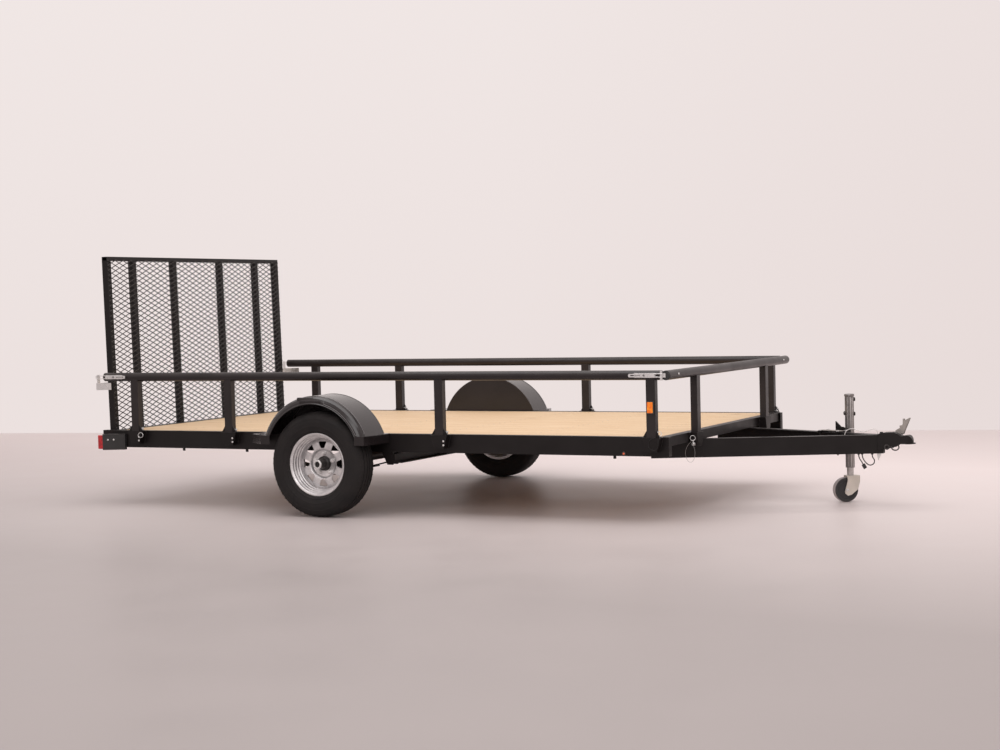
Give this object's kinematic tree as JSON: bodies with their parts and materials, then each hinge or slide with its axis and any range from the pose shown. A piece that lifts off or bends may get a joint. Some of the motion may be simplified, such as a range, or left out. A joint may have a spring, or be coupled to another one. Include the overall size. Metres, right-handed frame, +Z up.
{
  "type": "utility trailer",
  "caption": "Single-axle utility trailer with a board deck, lift-out tube rails, a fold-down mesh ramp gate, an A-shaped tongue with a ball coupler, and a swing-up jack.",
  "frame": {"origin": "centre of the bounding box on the ground", "axes": "+X towards the coupler, +Y to the trailer's left, +Z up"},
  "size_m": [4.712, 2.484, 1.5062],
  "materials": {
    "frame_black": "satin black paint",
    "rail_black": "satin black paint",
    "deck_wood": "bare softwood boards",
    "tyre": "matte rubber",
    "galvanised": "galvanised steel",
    "hub_dark": "dark oily steel",
    "lens_red": "red lens",
    "lens_amber": "amber lens",
    "lamp_black": "black plastic",
    "zinc": "zinc plate",
    "caster_grey": "grey-beige paint",
    "caster_black": "black plastic"
  },
  "bodies": {
    "chassis": {"axle_beam": "frame_black", "axle_clamps": "frame_black", "coupler": "frame_black", "coupler_lever": "zinc", "deck_bearers": "frame_black", "deck_boards": "deck_wood", "fender_left": "frame_black", "fender_right": "frame_black", "front_cross_tube": "frame_black", "front_pockets": "frame_black", "hanger_brace": "frame_black", "hinge_ears": "frame_black", "jack_mount": "frame_black", "lamp_boxes": "lamp_black", "lamp_lenses": "lens_red", "lead_clips": "lamp_black", "lead_loop": "lamp_black", "lead_plug": "lamp_black", "lead_tail": "lamp_black", "leaf_spring_left": "frame_black", "leaf_spring_right": "frame_black", "rear_sill": "frame_black", "rope_hooks": "frame_black", "side_channel_left": "frame_black", "side_channel_right": "frame_black", "side_markers": "lens_amber", "side_pockets": "frame_black", "spring_hangers": "frame_black", "tongue_left": "frame_black", "tongue_right": "frame_black"},
    "wheel_left": {"hub_left": "hub_dark", "rim_left": "galvanised", "tyre_left": "tyre"},
    "wheel_right": {"hub_right": "hub_dark", "rim_right": "galvanised", "tyre_right": "tyre"},
    "rail_left": {"rail_latches_left": "zinc", "rail_stakes_left": "rail_black", "rail_tube_left": "rail_black", "stake_lamp_left": "lens_amber"},
    "rail_right": {"rail_latches_right": "zinc", "rail_stakes_right": "rail_black", "rail_tube_right": "rail_black", "stake_lamp_right": "lens_amber"},
    "rail_front": {"front_rail_keepers": "zinc", "front_rail_stakes": "rail_black", "front_rail_tube": "rail_black"},
    "gate": {"gate_bars": "frame_black", "gate_keepers": "zinc", "gate_mesh": "frame_black", "gate_posts": "frame_black"},
    "jack_swivel": {"jack_cap": "lamp_black", "jack_swivel": "frame_black", "jack_tube": "zinc"},
    "jack_leg": {"jack_inner": "zinc"},
    "caster_fork": {"caster_fork": "caster_grey"},
    "caster_wheel": {"caster_wheel": "caster_black"}
  },
  "joints": [
    {"name": "wheel_left_spin", "type": "hinge", "parent": "chassis", "child": "wheel_left", "pos_m": [-0.69597, 1.141, 0.295], "axis": [0, 1, 0], "continuous": true},
    {"name": "wheel_right_spin", "type": "hinge", "parent": "chassis", "child": "wheel_right", "pos_m": [-0.69597, -1.141, 0.295], "axis": [0, 1, 0], "continuous": true},
    {"name": "rail_left_lift", "type": "slide", "parent": "chassis", "child": "rail_left", "axis": [0, 0, 1], "range_m": [0, 0.12]},
    {"name": "rail_right_lift", "type": "slide", "parent": "chassis", "child": "rail_right", "axis": [0, 0, 1], "range_m": [0, 0.12]},
    {"name": "rail_front_lift", "type": "slide", "parent": "chassis", "child": "rail_front", "axis": [0, 0, 1], "range_m": [0, 0.12]},
    {"name": "gate_fold", "type": "hinge", "parent": "chassis", "child": "gate", "pos_m": [-2.31197, 0, 0.43], "axis": [0, -1, 0], "range_deg": [0, 110]},
    {"name": "jack_swing", "type": "hinge", "parent": "chassis", "child": "jack_swivel", "pos_m": [1.89587, 0.19439, 0.385], "axis": [0.4226, 0.9063, 0], "range_deg": [0, 90]},
    {"name": "jack_slide", "type": "slide", "parent": "jack_swivel", "child": "jack_leg", "axis": [0, 0, -1], "range_m": [-0.035, 0.2]},
    {"name": "caster_swivel", "type": "hinge", "parent": "jack_leg", "child": "caster_fork", "pos_m": [1.9252, 0.25728, 0.15], "axis": [0, 0, 1], "continuous": true},
    {"name": "caster_roll", "type": "hinge", "parent": "caster_fork", "child": "caster_wheel", "pos_m": [1.90062, 0.24008, 0.0705], "axis": [0.5736, -0.8192, 0], "continuous": true}
  ]
}
